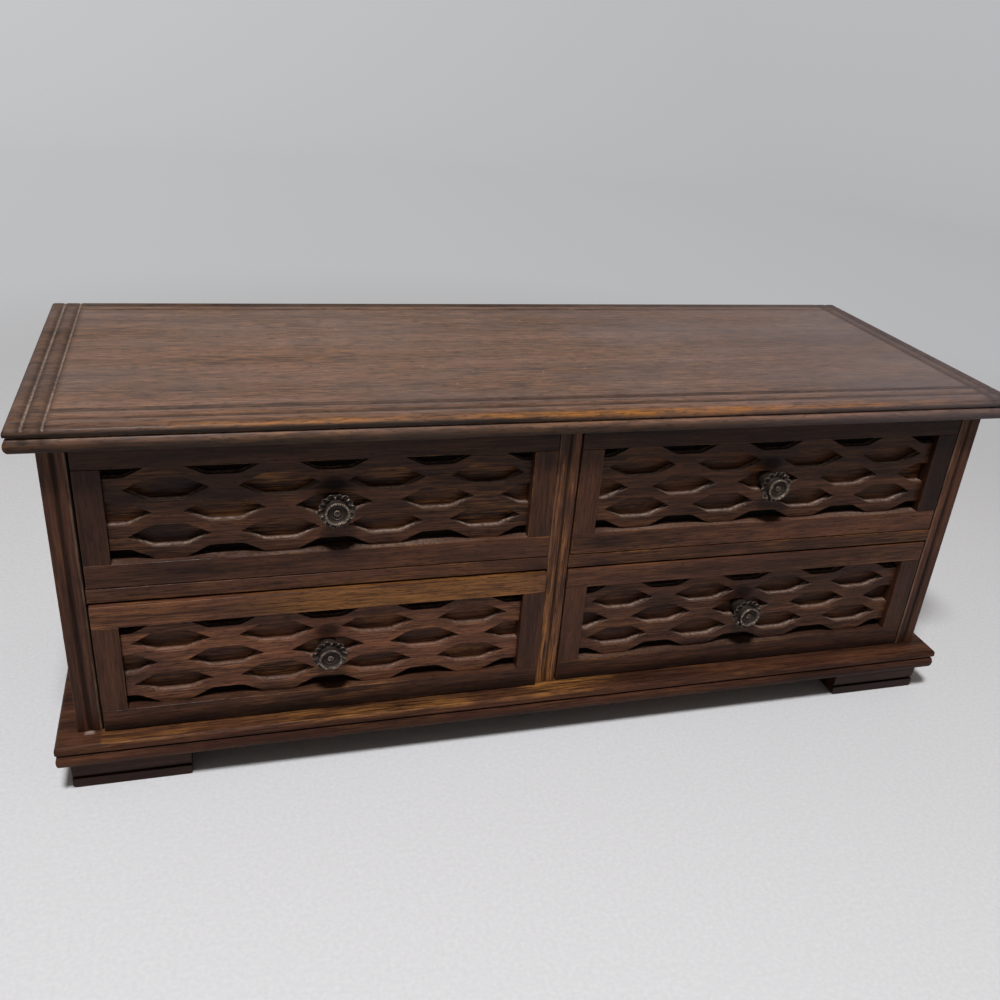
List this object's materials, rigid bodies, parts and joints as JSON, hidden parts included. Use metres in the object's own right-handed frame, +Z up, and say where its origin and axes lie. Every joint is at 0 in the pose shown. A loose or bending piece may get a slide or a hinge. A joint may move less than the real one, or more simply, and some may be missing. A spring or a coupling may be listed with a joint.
{
  "type": "musical jewelry box",
  "caption": "Low wooden jewellery chest on moulded feet: drawers with pierced trellis fronts and rosette knobs, and a wind-up musical movement behind a short drawer.",
  "frame": {"origin": "on the surface it stands on, under the middle of the box's width and of its depth from the top's front edge to the winding key's back end", "axes": "+X to the right seen from the front, +Y from the drawer fronts to the back, +Z up"},
  "size_m": [0.38, 0.1464, 0.1484],
  "materials": {
    "stained_wood": "dark brown stained open-grain hardwood under a worn satin lacquer",
    "top_wood": "reddish-brown stained hardwood under a worn lacquer with a grey bloom",
    "drawer_wood": "plain unstained softwood and plywood, sanded",
    "back_wood": "thin stained plywood",
    "velvet": "short-pile dark red velvet",
    "antique_pewter": "cast knob metal with dark patina in the hollows and rubbed bright edges",
    "brass": "plain machined brass",
    "steel": "bright ground steel",
    "zinc": "die-cast zinc, matt",
    "screw_steel": "zinc-plated steel, dulled"
  },
  "bodies": {
    "case": {"top_board": "top_wood", "base_board": "stained_wood", "feet": "stained_wood", "left_stile": "stained_wood", "right_stile": "stained_wood", "centre_stile": "stained_wood", "left_side": "stained_wood", "right_side": "stained_wood", "centre_partition": "stained_wood", "left_rail": "stained_wood", "right_rail": "stained_wood", "left_shelf": "drawer_wood", "right_shelf": "drawer_wood", "back_panel": "back_wood", "back_panel_screws": "screw_steel", "bedplate": "zinc", "spring_barrel": "brass", "mainspring": "steel", "comb": "steel", "governor_frame": "brass", "movement_screws": "screw_steel"},
    "drawer_upper_left": {"drawer_upper_left_rails": "stained_wood", "drawer_upper_left_stiles": "stained_wood", "drawer_upper_left_lattice": "stained_wood", "drawer_upper_left_panel": "stained_wood", "drawer_upper_left_walls": "drawer_wood", "drawer_upper_left_bottom": "drawer_wood", "drawer_upper_left_lining": "velvet", "drawer_upper_left_knob": "antique_pewter"},
    "drawer_upper_right": {"drawer_upper_right_rails": "stained_wood", "drawer_upper_right_stiles": "stained_wood", "drawer_upper_right_lattice": "stained_wood", "drawer_upper_right_panel": "stained_wood", "drawer_upper_right_walls": "drawer_wood", "drawer_upper_right_bottom": "drawer_wood", "drawer_upper_right_lining": "velvet", "drawer_upper_right_knob": "antique_pewter"},
    "drawer_lower_left": {"drawer_lower_left_rails": "stained_wood", "drawer_lower_left_stiles": "stained_wood", "drawer_lower_left_lattice": "stained_wood", "drawer_lower_left_panel": "stained_wood", "drawer_lower_left_walls": "drawer_wood", "drawer_lower_left_bottom": "drawer_wood", "drawer_lower_left_lining": "velvet", "drawer_lower_left_knob": "antique_pewter"},
    "drawer_lower_right": {"drawer_lower_right_rails": "stained_wood", "drawer_lower_right_stiles": "stained_wood", "drawer_lower_right_lattice": "stained_wood", "drawer_lower_right_panel": "stained_wood", "drawer_lower_right_walls": "drawer_wood", "drawer_lower_right_bottom": "drawer_wood", "drawer_lower_right_lining": "velvet", "drawer_lower_right_knob": "antique_pewter"},
    "winding": {"winding_key": "brass", "spring_arbor": "steel"},
    "great_wheel": {"great_wheel": "brass"},
    "cylinder": {"cylinder": "brass"},
    "governor_wheel": {"governor_wheel": "brass"},
    "fly": {"fly": "brass"},
    "stop_lever": {"stop_lever": "steel"}
  },
  "joints": [
    {"name": "slide_upper_left", "type": "slide", "parent": "case", "child": "drawer_upper_left", "axis": [0, -1, 0], "range_m": [0, 0.085]},
    {"name": "slide_upper_right", "type": "slide", "parent": "case", "child": "drawer_upper_right", "axis": [0, -1, 0], "range_m": [0, 0.085]},
    {"name": "slide_lower_left", "type": "slide", "parent": "case", "child": "drawer_lower_left", "axis": [0, -1, 0], "range_m": [-0.0016, 0.064]},
    {"name": "slide_lower_right", "type": "slide", "parent": "case", "child": "drawer_lower_right", "axis": [0, -1, 0], "range_m": [0, 0.085]},
    {"name": "key_turn", "type": "hinge", "parent": "case", "child": "winding", "pos_m": [-0.102, 0.05915, 0.0517], "axis": [0, 1, 0], "continuous": true},
    {"name": "cylinder_spin", "type": "hinge", "parent": "case", "child": "cylinder", "pos_m": [-0.078, 0.03775, 0.0517], "axis": [1, 0, 0], "continuous": true},
    {"name": "great_wheel_spin", "type": "hinge", "parent": "case", "child": "great_wheel", "pos_m": [-0.102, 0.04175, 0.0517], "axis": [0, -1, 0], "continuous": true},
    {"name": "governor_spin", "type": "hinge", "parent": "case", "child": "governor_wheel", "pos_m": [-0.062, 0.03775, 0.0416], "axis": [1, 0, 0], "continuous": true},
    {"name": "fly_spin", "type": "hinge", "parent": "case", "child": "fly", "pos_m": [-0.06, 0.03775, 0.04818], "axis": [0, -1, 0], "continuous": true},
    {"name": "stop_lever_swing", "type": "hinge", "parent": "case", "child": "stop_lever", "pos_m": [-0.076, 0.03115, 0.0387], "axis": [0, 0, 1], "range_deg": [0, 4], "stiffness_Nm_per_rad": 0.02}
  ],
  "couplings": [
    {"joint": "great_wheel_spin", "follows": "cylinder_spin", "ratio": 0.25},
    {"joint": "governor_spin", "follows": "cylinder_spin", "ratio": -3},
    {"joint": "fly_spin", "follows": "cylinder_spin", "ratio": 24}
  ]
}
